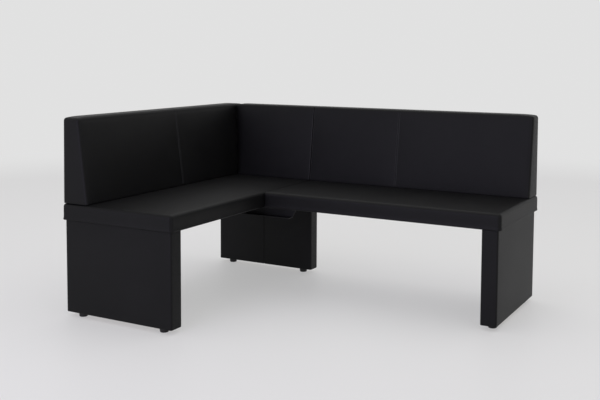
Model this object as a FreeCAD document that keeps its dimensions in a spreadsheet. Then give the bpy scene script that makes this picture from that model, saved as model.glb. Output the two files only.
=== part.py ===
# L-shaped upholstered corner bench: a short module that holds the corner and a long module that is
# coupled to it. Slim padded seats stand on three padded slab legs, with wedge-shaped padded backs.
# The origin is on the floor under the middle of the footprint. +X runs along the long side to its
# free end, +Y points to the wall behind the long side, and +Z is up. Lengths are millimetres.
import FreeCAD
import Part
import os

import Sketcher
from types import SimpleNamespace

Vector = FreeCAD.Vector
doc = FreeCAD.newDocument("CornerBench")

# Driving dimensions
SIZES = {
    # Whole bench
    "long_side": 1670,
    "short_side": 1260,
    "overall_height": 842,
    "module_gap": 0.5,
    # Seats
    "seat_depth": 570,
    "seat_height": 490,
    "seat_crown": 7,
    "crown_inset": 15,
    "seat_side": 70,
    "seat_round": 12,
    "joint_round": 5,
    "leather": 1.5,
    "cover_slack": 0.2,
    "side_pad": 6,
    "seat_hem": 30,
    "dust_cloth": 0.6,
    "dust_cloth_inset": 15,
    # Seat frames
    "rail_width": 30,
    "rail_height": 45,
    "leg_board_width": 100,
    "board_height": 22,
    "tie_board_width": 60,
    "webbing_width": 60,
    "webbing_thickness": 1.5,
    "webbing_pitch": 106,
    "webbing_inset": 10,
    # Legs
    "leg_thickness": 70,
    "leg_rear_inset": 8,
    "leg_front_inset": 10,
    "end_overhang": 12,
    "corner_leg_back": 30,
    "leg_round": 8,
    "leg_wadding": 3,
    "leg_panel": 8,
    "leg_stile": 40,
    "leg_rail": 50,
    "leg_hem": 12,
    # Screw feet
    "leg_lift": 20,
    "foot_clearance": 0.3,
    "foot_top_radius": 19.5,
    "foot_base_radius": 17.5,
    "foot_bevel": 1.5,
    "foot_setback": 62,
    "stem_radius": 4,
    "stem_length": 34,
    "stem_seat": 6,
    "thread_clearance": 0.1,
    "nut_radius": 6,
    "nut_length": 24,
    "nut_flange_radius": 11,
    "nut_flange": 1.5,
    # Bolts and screws
    "bolt_radius": 3,
    "bolt_head_radius": 6,
    "bolt_head": 3,
    "hole_clearance": 0.2,
    "leg_bolt_length": 62,
    "leg_bolt_spacing": 300,
    "iron_bolt_length": 24,
    "iron_bolt_spacing": 20,
    "iron_bolt_drop": 12,
    "screw_radius": 2.5,
    "screw_head_radius": 5,
    "screw_head": 2.5,
    "screw_length": 22,
    # Backs
    "back_base_depth": 138,
    "back_top_depth": 92,
    "back_inset": 3,
    "back_end_inset": 4,
    "back_lean": 5,
    "back_bulge": 5,
    "back_round": 12,
    "back_foam": 22,
    "back_top_pad": 12,
    "back_rear_pad": 2,
    "back_end_pad": 8,
    "back_hem": 14,
    "corner_gap": 0.3,
    "side_seam": 595,
    "long_seam": 458,
    "seam_width": 3,
    "seam_depth": 2,
    # Back frames
    "board": 4,
    "rib": 18,
    "back_rail_height": 45,
    # Flat irons that carry the backs
    "iron_width": 40,
    "iron_thickness": 6,
    "iron_slack": 0.4,
    "iron_end": 18,
    "iron_lift": 2,
    # Couplings under the joint of the modules
    "channel_width": 36,
    "channel_thickness": 3,
    "channel_drop": 43,
    "channel_half": 124,
    "channel_slope": 21,
    "channel_setback": 10,
    "near_screw": 30,
    "far_screw": 88,
    "plate_half": 48,
    "plate_width": 60,
    "plate_thickness": 3,
    "plate_setback": 190,
    "plate_screw_spacing": 36,
}

# How many ribs each back has, and which bays between them take an iron
SIDE_RIBS = 5
CORNER_RIBS = 3
LONG_RIBS = 5
SIDE_IRON_BAYS = (0, 2)
CORNER_IRON_BAYS = (0, 1)
LONG_IRON_BAYS = (0, 3)

sheet = doc.addObject("Spreadsheet::Sheet", "Sizes")
for row, (alias, value) in enumerate(SIZES.items(), start=1):
    sheet.set(f"A{row}", alias)
    sheet.set(f"B{row}", str(value))
    sheet.setAlias(f"B{row}", alias)
doc.recompute()


class Length:
    """A length: its expression in the names of the sheet, and its present value."""

    def __init__(self, text, value):
        self.text = text
        self.value = value

    def __add__(self, other):
        other = as_length(other)
        return Length(f"({self.text} + {other.text})", self.value + other.value)

    def __sub__(self, other):
        other = as_length(other)
        return Length(f"({self.text} - {other.text})", self.value - other.value)

    def __mul__(self, other):
        other = as_length(other)
        return Length(f"({self.text} * {other.text})", self.value * other.value)

    def __truediv__(self, other):
        other = as_length(other)
        return Length(f"({self.text} / {other.text})", self.value / other.value)

    def __radd__(self, other):
        return as_length(other) + self

    def __rsub__(self, other):
        return as_length(other) - self

    def __rmul__(self, other):
        return as_length(other) * self

    def __neg__(self):
        return 0 - self


def as_length(thing):
    """A plain number as a length."""
    return thing if isinstance(thing, Length) else Length(f"{thing}", float(thing))


def greater(one, other):
    return Length(f"max({one.text}; {other.text})", max(one.value, other.value))


def lesser(one, other):
    return Length(f"min({one.text}; {other.text})", min(one.value, other.value))


def bind(thing, name, length):
    """Ties one property of an object to a length."""
    thing.setExpression(name, as_length(length).text)


size = SimpleNamespace(**{alias: Length(f"Sizes.{alias}", value) for alias, value in SIZES.items()})

# Levels
seat_edge = size.seat_height - size.seat_crown
seat_base = seat_edge - size.seat_side
cloth_base = seat_base - size.dust_cloth
rail_base = seat_base + size.leather
rail_top = rail_base + size.rail_height
webbing_top = rail_top + size.webbing_thickness
board_top = rail_base + size.board_height
leg_floor = size.leg_lift + size.leather
back_frame_base = seat_edge + size.leather
back_frame_top = size.overall_height - size.leather - size.back_top_pad
back_rail_middle = (back_frame_base + back_frame_top) / 2

# Distances from a module's rear
padding = size.leather + size.side_pad
iron_face = padding + size.rail_width
rear_board = size.back_inset + size.back_lean + size.leather + size.back_rear_pad
back_rail = rear_board + size.board
far_rail = size.seat_depth - padding - size.rail_width
crown_start = size.back_base_depth + 2 * size.leather
foam_skin = size.leather + size.cover_slack

# Lengths of the modules and of their backs
short_length = size.short_side
long_length = size.long_side - size.seat_depth - size.module_gap
side_back_length = short_length - size.back_end_inset - size.back_inset
long_back_length = long_length - size.back_end_inset


class Place:
    """A module's own frame: x is the distance from its rear, y runs along its length, z is up."""

    def __init__(self, angle, origin_x, origin_y):
        self.angle = angle
        self.origin_x = origin_x
        self.origin_y = origin_y

    def put(self, thing, x, y, z, tip=FreeCAD.Rotation()):
        """Ties a thing's placement to a point of this frame."""
        turn = FreeCAD.Rotation(Vector(0, 0, 1), self.angle)
        thing.Placement = FreeCAD.Placement(Vector(0, 0, 0), turn.multiply(tip))
        if self.angle:
            world = (self.origin_x + y, self.origin_y - x, z)
        else:
            world = (self.origin_x + x, self.origin_y + y, z)
        for axis, length in zip("xyz", world):
            bind(thing, f"Placement.Base.{axis}", length)
        return thing


# The short module runs from its free end to the wall. The rear frame starts at the outer corner
# and runs along the wall, and the long module's frame starts at the joint of the two modules.
SHORT = Place(0, -size.long_side / 2, -size.short_side / 2)
REAR = Place(-90, -size.long_side / 2, size.short_side / 2)
LONG = Place(-90, size.seat_depth + size.module_gap - size.long_side / 2, size.short_side / 2)


def block(place, x, y, z, dx, dy, dz):
    """A box with its lowest corner at x, y, z of a frame."""
    box = doc.addObject("Part::Box", "Block")
    bind(box, "Length", dx)
    bind(box, "Width", dy)
    bind(box, "Height", dz)
    return place.put(box, x, y, z)


def rod(place, x, y, z, radius, length, level=False):
    """A cylinder that stands on x, y, z of a frame, or lies from there towards its front."""
    cylinder = doc.addObject("Part::Cylinder", "Rod")
    bind(cylinder, "Radius", radius)
    bind(cylinder, "Height", length)
    tip = FreeCAD.Rotation(Vector(0, 1, 0), 90 if level else 0)
    return place.put(cylinder, x, y, z, tip)


def cone(place, x, y, z, base_radius, top_radius, height):
    """A cone that stands on x, y, z of a frame."""
    thing = doc.addObject("Part::Cone", "Cone")
    bind(thing, "Radius1", base_radius)
    bind(thing, "Radius2", top_radius)
    bind(thing, "Height", height)
    return place.put(thing, x, y, z)


def cut(base, *tools):
    """The base with the tools taken away."""
    for tool in tools:
        result = doc.addObject("Part::Cut", "Cut")
        result.Base = base
        result.Tool = tool
        base = result
    return base


def fused(*things):
    """Overlapping things made one solid."""
    result = doc.addObject("Part::MultiFuse", "Fused")
    result.Shapes = list(things)
    return result


def group(things):
    """Separate solids kept as one object."""
    result = doc.addObject("Part::Compound", "Group")
    result.Links = list(things)
    return result


def origin_plane(body, role):
    """One of a body's own origin planes."""
    return next(plane for plane in body.Origin.OriginFeatures if plane.Role == role)


def outline(body, role, corners, bulges):
    """A closed sketch with its corners tied to lengths. A bulge is the rise of an arc on a side."""
    sketch = body.newObject("Sketcher::SketchObject", "Outline")
    sketch.AttachmentSupport = [(origin_plane(body, role), "")]
    sketch.MapMode = "FlatFace"
    points = [Vector(as_length(u).value, as_length(v).value, 0) for u, v in corners]
    begin, end = [], []
    for i, start in enumerate(points):
        stop = points[(i + 1) % len(points)]
        if i not in bulges:
            sketch.addGeometry(Part.LineSegment(start, stop), False)
            begin.append(1)
            end.append(2)
            continue
        along = stop - start
        outward = Vector(along.y, -along.x, 0).normalize() * bulges[i].value
        sketch.addGeometry(Part.Arc(start, (start + stop) / 2 + outward, stop), False)
        forwards = sketch.getPoint(i, 1).isEqual(start, 1e-6)
        begin.append(1 if forwards else 2)
        end.append(2 if forwards else 1)
    for i in range(len(points)):
        after = (i + 1) % len(points)
        sketch.addConstraint(Sketcher.Constraint("Coincident", i, end[i], after, begin[after]))
    for i, (u, v) in enumerate(corners):
        for kind, axis, length in (("DistanceX", -2, as_length(u)), ("DistanceY", -1, as_length(v))):
            if length.value == 0:
                sketch.addConstraint(Sketcher.Constraint("PointOnObject", i, begin[i], axis))
                continue
            constraint = Sketcher.Constraint(kind, -1, 1, i, begin[i], length.value)
            bind(sketch, f"Constraints[{sketch.addConstraint(constraint)}]", length)
    for i, rise in bulges.items():
        (u, v), (next_u, next_v) = corners[i], corners[(i + 1) % len(corners)]
        run, climb = next_u - u, next_v - v
        radius = (run * run + climb * climb) / (8 * rise) + rise / 2
        constraint = Sketcher.Constraint("Radius", i, radius.value)
        bind(sketch, f"Constraints[{sketch.addConstraint(constraint)}]", radius)
    return sketch


def padded_outline(place, role, corners, length, x, y, z, bulges=None):
    """A body padded from a closed outline in one of its origin planes."""
    body = doc.addObject("PartDesign::Body", "Body")
    sketch = outline(body, role, corners, bulges or {})
    pad = body.newObject("PartDesign::Pad", "Pad")
    pad.Profile = sketch
    pad.Reversed = role == "XZ_Plane"
    bind(pad, "Length", length)
    sketch.Visibility = False
    return place.put(body, x, y, z)


def run(place, y, length, corners, bulges=None):
    """A section in a frame's x and z, run along its y."""
    return padded_outline(place, "XZ_Plane", corners, length, 0, y, 0, bulges)


def rounded(body, radius, wanted):
    """Rounds the edges of a body that a test of their ends' and middle's points picks."""
    doc.recompute()
    before = body.Tip
    names = []
    for number, edge in enumerate(before.Shape.Edges, start=1):
        first, last = edge.ParameterRange
        points = [edge.valueAt(first), edge.valueAt((first + last) / 2), edge.valueAt(last)]
        if wanted(points):
            names.append(f"Edge{number}")
    fillet = body.newObject("PartDesign::Fillet", "Round")
    fillet.Base = (before, names)
    bind(fillet, "Radius", radius)
    doc.recompute()
    return body


TOUCH = 0.01


def all_near(points, axis, value):
    """Whether all the points lie at one value of an axis."""
    return all(abs(getattr(point, axis) - value) < TOUCH for point in points)


def soft_form(body, bottom, length, radius, joint_end, joint_radius):
    """Rounds a run body above its bottom, less at the near or far end that meets the other module."""
    base = as_length(bottom).value
    plane = {"near": 0, "far": as_length(length).value}.get(joint_end)

    def at_joint(points):
        return plane is not None and all_near(points, "y", plane)

    rounded(body, radius, lambda points: not (all_near(points, "z", base) or at_joint(points)))
    if plane is not None:
        rounded(body, joint_radius, lambda points: at_joint(points) and not all_near(points, "z", base))
    return body


# Seats
def seat_form(place, length, skin, bottom, joint_end, crown_stop):
    """A seat's form with a skin taken off it: a rounded block with a crown in front of the back.

    crown_stop is where the crown ends along the seat."""
    top = seat_edge - skin
    nose = size.seat_depth - skin
    inner_length = length - 2 * skin
    body = run(place, skin, inner_length, [(skin, bottom), (nose, bottom), (nose, top), (skin, top)])
    form = soft_form(body, bottom, inner_length, size.seat_round - skin, joint_end, size.joint_round - skin)
    crown_end = size.seat_depth - size.crown_inset
    crown_low = top - size.leather
    across = [(crown_start, crown_low), (crown_end, crown_low), (crown_end, top), (crown_start, top)]
    stop = crown_stop - size.crown_inset
    along = [(0, crown_low), (stop, crown_low), (stop, top), (0, top)]
    crown = doc.addObject("Part::MultiCommon", "Crown")
    crown.Shapes = [
        run(place, size.crown_inset, stop, across, {2: size.seat_crown}),
        padded_outline(
            place, "YZ_Plane", along, crown_end - crown_start,
            crown_start, size.crown_inset, 0, {2: size.seat_crown},
        ),
    ]
    return fused(form, crown)


def iron_slot(frame, y, bottom, top):
    """The slot that one back's flat iron passes through."""
    slack = size.iron_slack
    return block(
        frame, iron_face - slack, y - size.iron_width / 2 - slack, bottom,
        size.iron_thickness + 2 * slack, size.iron_width + 2 * slack, top - bottom,
    )


def seat_cover(place, length, joint_end, crown_stop, irons):
    """The seat's leather, folded under its frame as a hem, with slots for the irons."""
    outer = seat_form(place, length, 0, seat_base, joint_end, crown_stop)
    inner = seat_form(place, length, size.leather, rail_base, joint_end, crown_stop)
    hem = size.seat_hem
    below = block(
        place, hem, hem, seat_base - size.leather,
        size.seat_depth - 2 * hem, length - 2 * hem, 3 * size.leather,
    )
    slots = [iron_slot(frame, y, seat_edge - 3 * size.leather, size.seat_height) for frame, y in irons]
    return cut(outer, inner, below, *slots, *coupling_holes())


def seat_foam(place, length, joint_end, crown_stop, irons):
    """The seat's foam, laid over the webbing and drawn down round the frame."""
    form = seat_form(place, length, foam_skin, rail_base, joint_end, crown_stop)
    room = block(
        place, padding, padding, seat_base, size.seat_depth - 2 * padding, length - 2 * padding,
        webbing_top - seat_base,
    )
    slots = [iron_slot(frame, y, rail_top, size.seat_height) for frame, y in irons]
    return cut(form, room, *slots)


def seat_webbing(place, length, irons):
    """Elastic straps stretched across the rails, notched where an iron passes."""
    straps = []
    count = int((length - 2 * padding).value // size.webbing_pitch.value)
    for i in range(count):
        middle = length / 2 + (i - (count - 1) / 2) * size.webbing_pitch
        straps.append(block(
            place, padding + size.webbing_inset, middle - size.webbing_width / 2, rail_top,
            size.seat_depth - 2 * (padding + size.webbing_inset), size.webbing_width, size.webbing_thickness,
        ))
    slots = [iron_slot(frame, y, rail_base, size.seat_height) for frame, y in irons]
    return group([cut(strap, *slots) for strap in straps])


def seat_rails(place, length, holes):
    """Two long rails and two end rails between them."""
    inner_depth = far_rail - iron_face
    far_end = length - padding - size.rail_width
    return group([cut(rail, *holes) for rail in (
        block(place, padding, padding, rail_base, size.rail_width, length - 2 * padding, size.rail_height),
        block(place, far_rail, padding, rail_base, size.rail_width, length - 2 * padding, size.rail_height),
        block(place, iron_face, padding, rail_base, inner_depth, size.rail_width, size.rail_height),
        block(place, iron_face, far_end, rail_base, inner_depth, size.rail_width, size.rail_height),
    )])


def cross_board(place, length, start, width, cutters):
    """A board across a seat, between its rails, kept clear of the end rails."""
    low = greater(start, iron_face)
    high = lesser(start + width, length - iron_face)
    board = block(place, iron_face, low, rail_base, far_rail - iron_face, high - low, size.board_height)
    return cut(board, *cutters)


def dust_cloth(place, length, holes):
    """A thin black cloth tacked under the seat."""
    inset = size.dust_cloth_inset
    cloth = block(
        place, inset, inset, cloth_base, size.seat_depth - 2 * inset, length - 2 * inset, size.dust_cloth,
    )
    return cut(cloth, *holes)


# Leg bolts, two in each leg
def leg_bolt_spots():
    """Distances from the rear of the bolts in one leg."""
    middle = size.seat_depth / 2
    return [middle - size.leg_bolt_spacing / 2, middle + size.leg_bolt_spacing / 2]


def leg_bolt_line(length, y):
    """The leg's middle, or the nearest line where the bolts' heads clear the seat's end rails."""
    room = iron_face + size.bolt_head_radius + size.hole_clearance
    return lesser(greater(y + size.leg_thickness / 2, room), length - room)


def leg_bolts(place, length, y):
    """Bolts with their heads on the board over the leg."""
    line = leg_bolt_line(length, y)
    bolts = []
    for x in leg_bolt_spots():
        head = rod(place, x, line, board_top, size.bolt_head_radius, size.bolt_head)
        shank = rod(
            place, x, line, board_top - size.leg_bolt_length,
            size.bolt_radius, size.leg_bolt_length + size.bolt_head,
        )
        bolts.append(fused(head, shank))
    return bolts


def leg_bolt_holes(place, length, y):
    line = leg_bolt_line(length, y)
    clearance = size.hole_clearance
    return [
        rod(
            place, x, line, board_top - size.leg_bolt_length - clearance,
            size.bolt_radius + clearance, size.leg_bolt_length + 2 * clearance,
        )
        for x in leg_bolt_spots()
    ]


# Legs
leg_start = size.leg_rear_inset
leg_width = size.seat_depth - size.leg_rear_inset - size.leg_front_inset
leg_core = size.leather + size.leg_wadding


def foot_spots():
    """Distances from the rear of the two feet under one leg."""
    return {
        "outer": leg_start + size.foot_setback,
        "inner": leg_start + leg_width - size.foot_setback,
    }


def leg_form(place, y, skin, bottom, top):
    """A leg's slab with a skin taken off its four sides, and its upright edges rounded."""
    wide = leg_width - 2 * skin
    thick = size.leg_thickness - 2 * skin
    corners = [(0, 0), (wide, 0), (wide, thick), (0, thick)]
    body = padded_outline(place, "XY_Plane", corners, top - bottom, leg_start + skin, y + skin, bottom)
    return rounded(body, size.leg_round - skin, lambda points: not (
        all_near(points, "z", points[0].z)
    ))


def leg_cover(place, y):
    """The leg's leather, open at its top, with a hem turned in under it."""
    hem = size.leg_hem
    return cut(
        leg_form(place, y, 0, size.leg_lift, cloth_base),
        leg_form(place, y, size.leather, leg_floor, seat_base),
        block(
            place, leg_start + hem, y + hem, size.leg_lift - size.leather,
            leg_width - 2 * hem, size.leg_thickness - 2 * hem, 3 * size.leather,
        ),
    )


def leg_wadding(place, y):
    """Thin wadding between the leg's leather and its panels."""
    form = leg_form(place, y, foam_skin, leg_floor, cloth_base)
    core = block(
        place, leg_start + leg_core, y + leg_core, size.leg_lift,
        leg_width - 2 * leg_core, size.leg_thickness - 2 * leg_core, seat_base - size.leg_lift,
    )
    return cut(form, core)


def leg_panels(place, y):
    """The two face panels of the leg's box."""
    far_panel = y + size.leg_thickness - leg_core - size.leg_panel
    return group([
        block(
            place, leg_start + leg_core, start, leg_floor,
            leg_width - 2 * leg_core, size.leg_panel, cloth_base - leg_floor,
        )
        for start in (y + leg_core, far_panel)
    ])


def leg_frame(place, length, y):
    """Two stiles and two rails between the panels, bored for the feet's nuts and the bolts."""
    start_y = y + leg_core + size.leg_panel
    thick = size.leg_thickness - 2 * (leg_core + size.leg_panel)
    inner = leg_start + leg_core
    far_stile = leg_start + leg_width - leg_core - size.leg_stile
    stiles = [
        block(place, x, start_y, leg_floor, size.leg_stile, thick, cloth_base - leg_floor)
        for x in (inner, far_stile)
    ]
    rail_start = inner + size.leg_stile
    low_rail, top_rail = [
        block(place, rail_start, start_y, z, far_stile - rail_start, thick, size.leg_rail)
        for z in (leg_floor, cloth_base - size.leg_rail)
    ]
    sockets = []
    clearance = size.hole_clearance
    for x in foot_spots().values():
        axis = y + size.leg_thickness / 2
        sockets.append(rod(place, x, axis, size.leg_lift, size.nut_radius + clearance, 2 * size.leg_rail))
        sockets.append(rod(
            place, x, axis, size.leg_lift, size.nut_flange_radius + clearance, size.leather + size.nut_flange,
        ))
    return group([*stiles, cut(low_rail, *sockets), cut(top_rail, *leg_bolt_holes(place, length, y))])


# Screw feet
def foot_nut(place, x, y):
    """A flanged sleeve nut, set into the leg's bottom rail from below."""
    axis = y + size.leg_thickness / 2
    flange = rod(place, x, axis, leg_floor, size.nut_flange_radius, size.nut_flange)
    sleeve = rod(place, x, axis, leg_floor, size.nut_radius, size.nut_length)
    bore = rod(
        place, x, axis, size.leg_lift, size.stem_radius + size.thread_clearance, 2 * size.nut_length,
    )
    return cut(fused(flange, sleeve), bore)


foot_height = size.leg_lift - size.foot_clearance
stem_start = foot_height - size.stem_seat


def foot_pad(place, x, y):
    """A moulded foot with a bevelled base and a socket for its stem."""
    axis = y + size.leg_thickness / 2
    bevel = cone(
        place, x, axis, 0, size.foot_base_radius - size.foot_bevel, size.foot_base_radius, size.foot_bevel,
    )
    barrel = cone(
        place, x, axis, size.foot_bevel, size.foot_base_radius, size.foot_top_radius,
        foot_height - size.foot_bevel,
    )
    socket = rod(place, x, axis, stem_start, size.stem_radius, 2 * size.stem_seat)
    return cut(fused(bevel, barrel), socket)


def foot_stem(place, x, y):
    """The threaded stem, seated in the foot."""
    axis = y + size.leg_thickness / 2
    return rod(place, x, axis, stem_start, size.stem_radius, size.stem_seat + size.stem_length)


# Backs
def back_corners(skin, bottom):
    """The back's section with a skin taken off it, from its rear foot round by its front."""
    return [
        (size.back_inset + skin, bottom),
        (size.back_base_depth - skin, bottom),
        (size.back_top_depth - skin, size.overall_height - skin),
        (size.back_inset + size.back_lean + skin, size.overall_height - skin),
    ]


def back_form(place, start, length, skin, bottom, joint_end):
    """The back's bulged and rounded form with a skin taken off it."""
    inner_length = length - 2 * skin
    body = run(place, start + skin, inner_length, back_corners(skin, bottom), {1: size.back_bulge})
    return soft_form(
        body, bottom, inner_length, size.back_round - skin, joint_end, size.joint_round - skin
    )


def seam_channel(place, seam, skin, bottom):
    """A ring that sinks the back's surface along a sewn seam."""
    half = size.seam_width / 2 + skin
    rings = []
    for shift in (-size.seam_depth, size.seam_depth):
        corners = back_corners(skin + shift, bottom - size.seam_depth)
        body = run(place, seam - half, 2 * half, corners, {1: size.back_bulge})
        top = size.overall_height.value - (skin + shift).value
        rings.append(rounded(body, size.back_round - skin - shift, lambda points: (
            all_near(points, "z", top) and points[0].x == points[2].x
        )))
    return cut(rings[0], rings[1])


def corner_end(grow):
    """The side back's section, grown, where it shapes the end of the corner's back."""
    corners = back_corners(-size.corner_gap - grow, seat_edge - size.leather)
    return run(SHORT, 0, short_length + size.back_round, corners, {1: size.back_bulge})


def shaped_back(place, start, length, skin, bottom, joint_end, seam, at_corner):
    """The back's form with its seam sunk and, at the corner, its end cut to the side back."""
    form = back_form(place, start, length, skin, bottom, joint_end)
    if seam is not None:
        form = cut(form, seam_channel(place, seam, as_length(skin), bottom))
    if at_corner:
        form = cut(form, corner_end(skin))
    return form


def wedge(place, y, length, rear, front_set, drop=None):
    """A prism from an upright rear plane to a plane parallel to the back's front."""
    front = size.leather + size.back_foam + front_set
    foot = size.back_base_depth - front
    top = size.back_top_depth - front
    corners = [
        (rear, back_frame_base), (foot, back_frame_base), (top, back_frame_top), (rear, back_frame_top),
    ]
    if drop:
        corners[:1] = [(rear, back_frame_base - drop), (foot, back_frame_base - drop)]
    return run(place, y, length, corners)


class Back:
    """One back: where it stands, how long it is, and where its wooden frame begins and ends."""

    def __init__(self, place, start, length, ribs, iron_bays, joint_end, seam=None, at_corner=False):
        self.place = place
        self.shape = (place, start, length)
        self.ends = (joint_end, seam, at_corner)
        end_room = size.leather + size.back_end_pad
        corner_start = size.back_base_depth + size.corner_gap + end_room
        self.frame_start = corner_start if at_corner else start + end_room
        self.frame_length = start + length - end_room - self.frame_start
        self.ribs = ribs
        pitch = (self.frame_length - size.rib) / (ribs - 1)
        self.rib_starts = [self.frame_start + i * pitch for i in range(ribs)]
        self.irons = [self.rib_starts[bay] + size.rib / 2 + pitch / 2 for bay in iron_bays]

    def form(self, skin, bottom):
        return shaped_back(*self.shape, skin, bottom, *self.ends)

    def cover(self):
        """The back's leather, with a hem turned in under it."""
        hem = size.back_hem
        below = block(
            self.place, size.back_inset + hem, self.frame_start + hem, seat_edge - size.leather,
            size.back_base_depth - size.back_inset - 2 * hem, self.frame_length - 2 * hem, 3 * size.leather,
        )
        return cut(self.form(0, seat_edge), self.form(size.leather, back_frame_base), below)

    def foam(self):
        """Foam over the front, top and ends of the frame, with a thin layer behind it."""
        room = wedge(self.place, self.frame_start, self.frame_length, rear_board, 0, size.leather)
        return cut(self.form(foam_skin, back_frame_base), room)

    def boards(self):
        """The rear board and the sloping front board."""
        tall = back_frame_top - back_frame_base
        rear = block(
            self.place, rear_board, self.frame_start, back_frame_base, size.board, self.frame_length, tall,
        )
        front = cut(
            wedge(self.place, self.frame_start, self.frame_length, iron_face, 0),
            wedge(self.place, self.frame_start, self.frame_length, rear_board, size.board, size.leather),
        )
        return group([rear, front])

    def frame(self):
        """Three rails that the irons are bolted to, and ribs that carry the front board."""
        high = size.back_rail_height
        levels = [back_frame_base, back_rail_middle - high / 2, back_frame_top - high]
        deep = iron_face - back_rail
        holes = self.iron_bolt_holes()
        rails = [
            cut(block(self.place, back_rail, self.frame_start, z, deep, self.frame_length, high), *holes)
            for z in levels
        ]
        ribs = [wedge(self.place, y, size.rib, iron_face, size.board) for y in self.rib_starts]
        return group(rails + ribs)

    def iron_bolt_spots(self):
        """The y and z of every bolt through this back's irons."""
        levels = [
            rail_top - size.iron_bolt_drop,
            back_frame_base + size.back_rail_height / 2,
            back_rail_middle,
        ]
        half = size.iron_bolt_spacing / 2
        return [(y + side, z) for y in self.irons for z in levels for side in (-half, half)]

    def iron_bolt_holes(self):
        clearance = size.hole_clearance
        start = iron_face + size.iron_thickness - size.iron_bolt_length - clearance
        return [
            rod(
                self.place, start, y, z, size.bolt_radius + clearance,
                size.iron_bolt_length + 2 * clearance, True,
            )
            for y, z in self.iron_bolt_spots()
        ]

    def iron_bolts(self):
        """Bolts through the irons into the rails behind them."""
        face = iron_face + size.iron_thickness
        bolts = []
        for y, z in self.iron_bolt_spots():
            head = rod(self.place, face, y, z, size.bolt_head_radius, size.bolt_head, True)
            shank = rod(
                self.place, face - size.iron_bolt_length, y, z, size.bolt_radius,
                size.iron_bolt_length + size.bolt_head, True,
            )
            bolts.append(fused(head, shank))
        return bolts

    def iron_bars(self):
        """Flat irons from the seat's rear rail up to the back's middle rail."""
        low = rail_base + size.iron_lift
        holes = self.iron_bolt_holes()
        return [
            cut(block(
                self.place, iron_face, y - size.iron_width / 2, low,
                size.iron_thickness, size.iron_width, back_rail_middle + size.iron_end - low,
            ), *holes)
            for y in self.irons
        ]


side_back = Back(
    SHORT, size.back_end_inset, side_back_length, SIDE_RIBS, SIDE_IRON_BAYS, None,
    seam=short_length - size.side_seam,
)
corner_back = Back(
    REAR, size.back_top_depth / 2, size.seat_depth - size.back_top_depth / 2, CORNER_RIBS,
    CORNER_IRON_BAYS, "far", at_corner=True,
)
long_back = Back(LONG, 0, long_back_length, LONG_RIBS, LONG_IRON_BAYS, "near", seam=size.long_seam)

# Where the legs and the couplings stand along the modules
front_leg = size.end_overhang
corner_leg = short_length - size.corner_leg_back - size.leg_thickness
end_leg = long_length - size.end_overhang - size.leg_thickness
legs = {
    "front_leg": (SHORT, short_length, front_leg),
    "corner_leg": (SHORT, short_length, corner_leg),
    "end_leg": (LONG, long_length, end_leg),
}
channel_front = size.seat_depth - size.channel_setback
channel_rear = channel_front - size.channel_width
channel_middle = (channel_front + channel_rear + size.channel_thickness) / 2
joint_middle = size.seat_depth + size.module_gap / 2
tie_start = short_length - (channel_front + channel_rear + size.tie_board_width) / 2


# Couplings
def coupling_spots():
    """The x and y, in the rear frame, and the plate thickness of every coupling screw."""
    spots = []
    for reach in (size.near_screw, size.far_screw):
        for side in (-1, 1):
            spots.append((channel_middle, joint_middle + side * reach, size.channel_thickness))
    for across in (-0.5, 0.5):
        for side in (-1, 1):
            x = size.plate_setback + across * size.plate_screw_spacing
            spots.append((x, joint_middle + side * size.near_screw, size.plate_thickness))
    return spots


def coupling_holes():
    clearance = size.hole_clearance
    return [
        rod(
            REAR, x, y, cloth_base - thickness - clearance,
            size.screw_radius + clearance, size.screw_length + 2 * clearance,
        )
        for x, y, thickness in coupling_spots()
    ]


def coupling_screws():
    """Screws from below through the channel and the plate into the seats' frames."""
    screws = []
    for x, y, thickness in coupling_spots():
        bottom = cloth_base - thickness - size.screw_head
        head = rod(REAR, x, y, bottom, size.screw_head_radius, size.screw_head)
        shank = rod(REAR, x, y, bottom, size.screw_radius, size.screw_head + size.screw_length)
        screws.append(fused(head, shank))
    return screws


def coupling_channel():
    """A folded steel channel, open to the front, with its ends cut at a slope."""
    top, bottom = cloth_base, cloth_base - size.channel_drop
    long_half = size.channel_half + size.channel_slope
    corners = [
        (0, bottom),
        (2 * size.channel_half, bottom),
        (2 * size.channel_half + size.channel_slope, top),
        (-size.channel_slope, top),
    ]
    corners = [(size.channel_slope + y, z) for y, z in corners]
    bar = padded_outline(
        REAR, "YZ_Plane", corners, size.channel_width, channel_rear, joint_middle - long_half, 0
    )
    wall = size.channel_thickness
    hollow = block(
        REAR, channel_rear + wall, joint_middle - 2 * long_half, bottom + wall,
        size.channel_width, 4 * long_half, size.channel_drop - 2 * wall,
    )
    return cut(bar, hollow, *coupling_holes())


def coupling_plate():
    """A flat steel plate across the joint, near the rear."""
    return cut(block(
        REAR, size.plate_setback - size.plate_width / 2, joint_middle - size.plate_half,
        cloth_base - size.plate_thickness, size.plate_width, 2 * size.plate_half, size.plate_thickness,
    ), *coupling_holes())


parts = {}


def keep(name, thing):
    """Names a finished sub-part. Its name is also its file's."""
    thing.Label = name
    parts[name] = thing


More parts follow.
